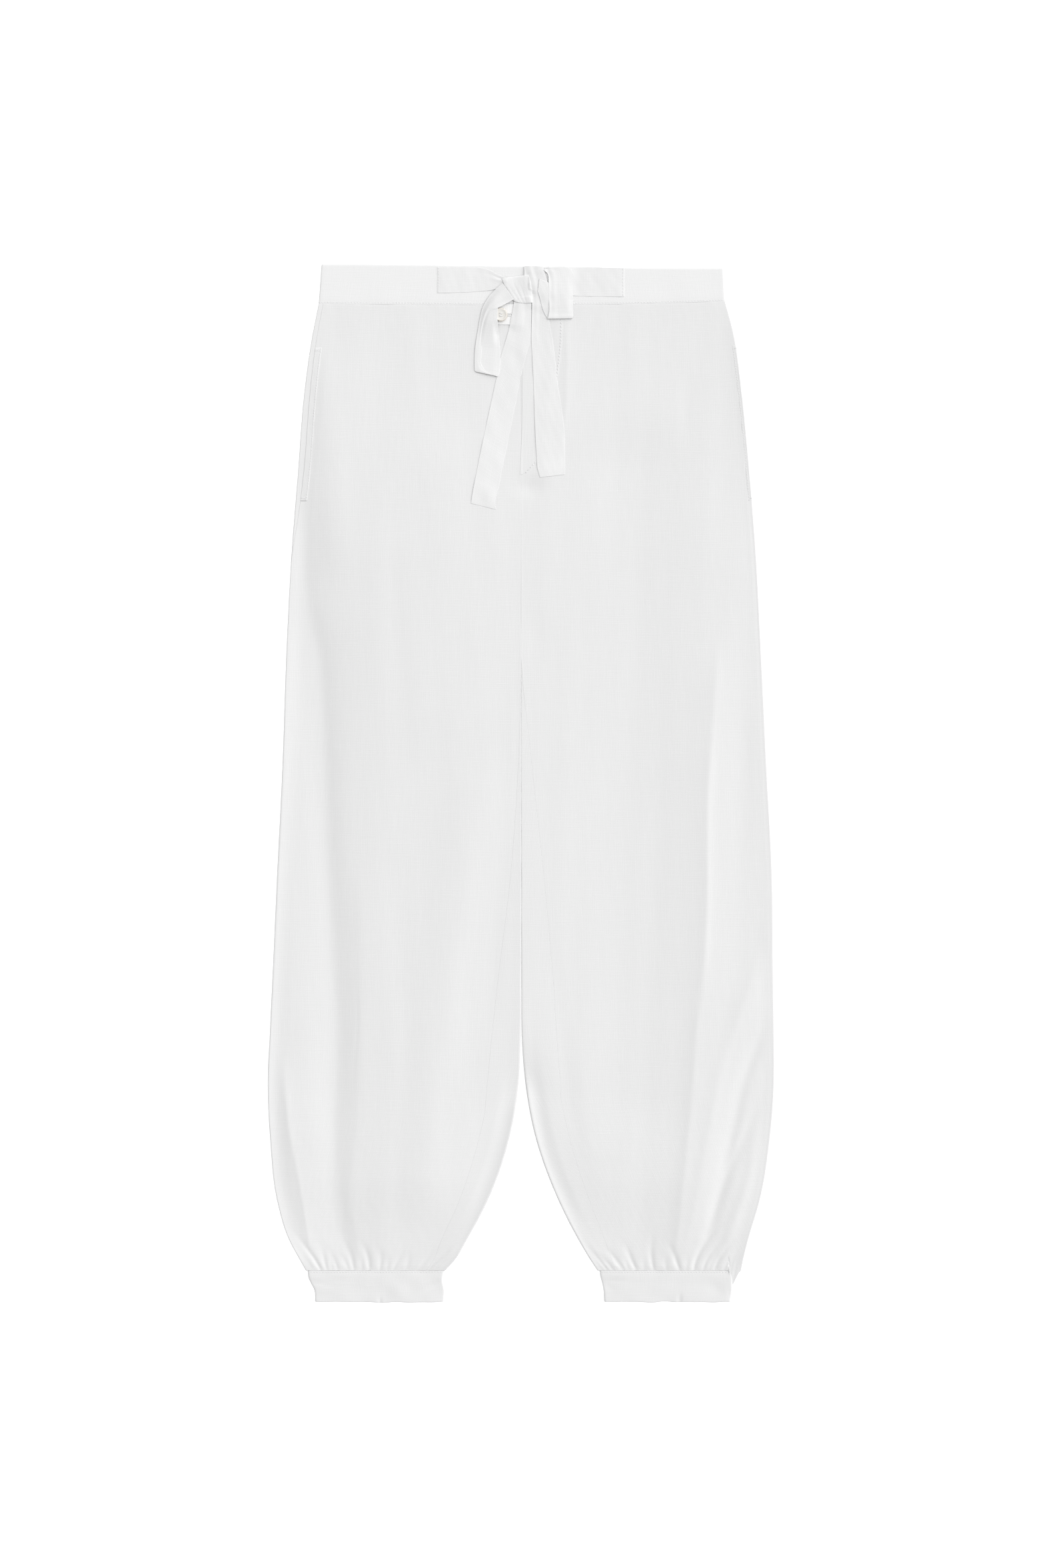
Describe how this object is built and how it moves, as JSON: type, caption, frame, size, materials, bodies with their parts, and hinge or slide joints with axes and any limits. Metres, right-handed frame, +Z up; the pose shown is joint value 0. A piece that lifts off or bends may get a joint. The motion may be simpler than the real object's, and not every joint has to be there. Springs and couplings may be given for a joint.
{
  "type": "balloon pants",
  "caption": "Full-length balloon trousers lying flat, front up, with wide legs gathered into narrow cuffs and a cloth belt tied in a bow at a plain waistband.",
  "frame": {"origin": "middle of the bounding box at the surface that the trousers lie on", "axes": "+Y towards the waist, +Z up out of the front, +X to the wearer's left"},
  "size_m": [0.4762, 0.9755, 0.0138],
  "materials": {
    "leg_cloth": "matt off-white woven cloth, fine slubby weave",
    "band_cloth": "the same white cloth, doubled and pressed",
    "belt_cloth": "the same white cloth, turned into a flat belt",
    "button_shell": "small glossy four-hole button, warm off-white"
  },
  "bodies": {
    "root": {"front_right": "leg_cloth", "front_left": "leg_cloth", "back_right": "leg_cloth", "back_left": "leg_cloth", "pocket_mouth_right": "leg_cloth", "pocket_mouth_left": "leg_cloth", "fly": "leg_cloth", "waistband": "band_cloth", "button_tab": "band_cloth", "cuff_right": "band_cloth", "cuff_left": "band_cloth", "tie_right": "belt_cloth", "tie_left": "belt_cloth", "knot": "belt_cloth", "loop_right": "belt_cloth", "loop_left": "belt_cloth", "tail_right": "belt_cloth", "tail_left": "belt_cloth", "button": "button_shell"}
  },
  "joints": []
}
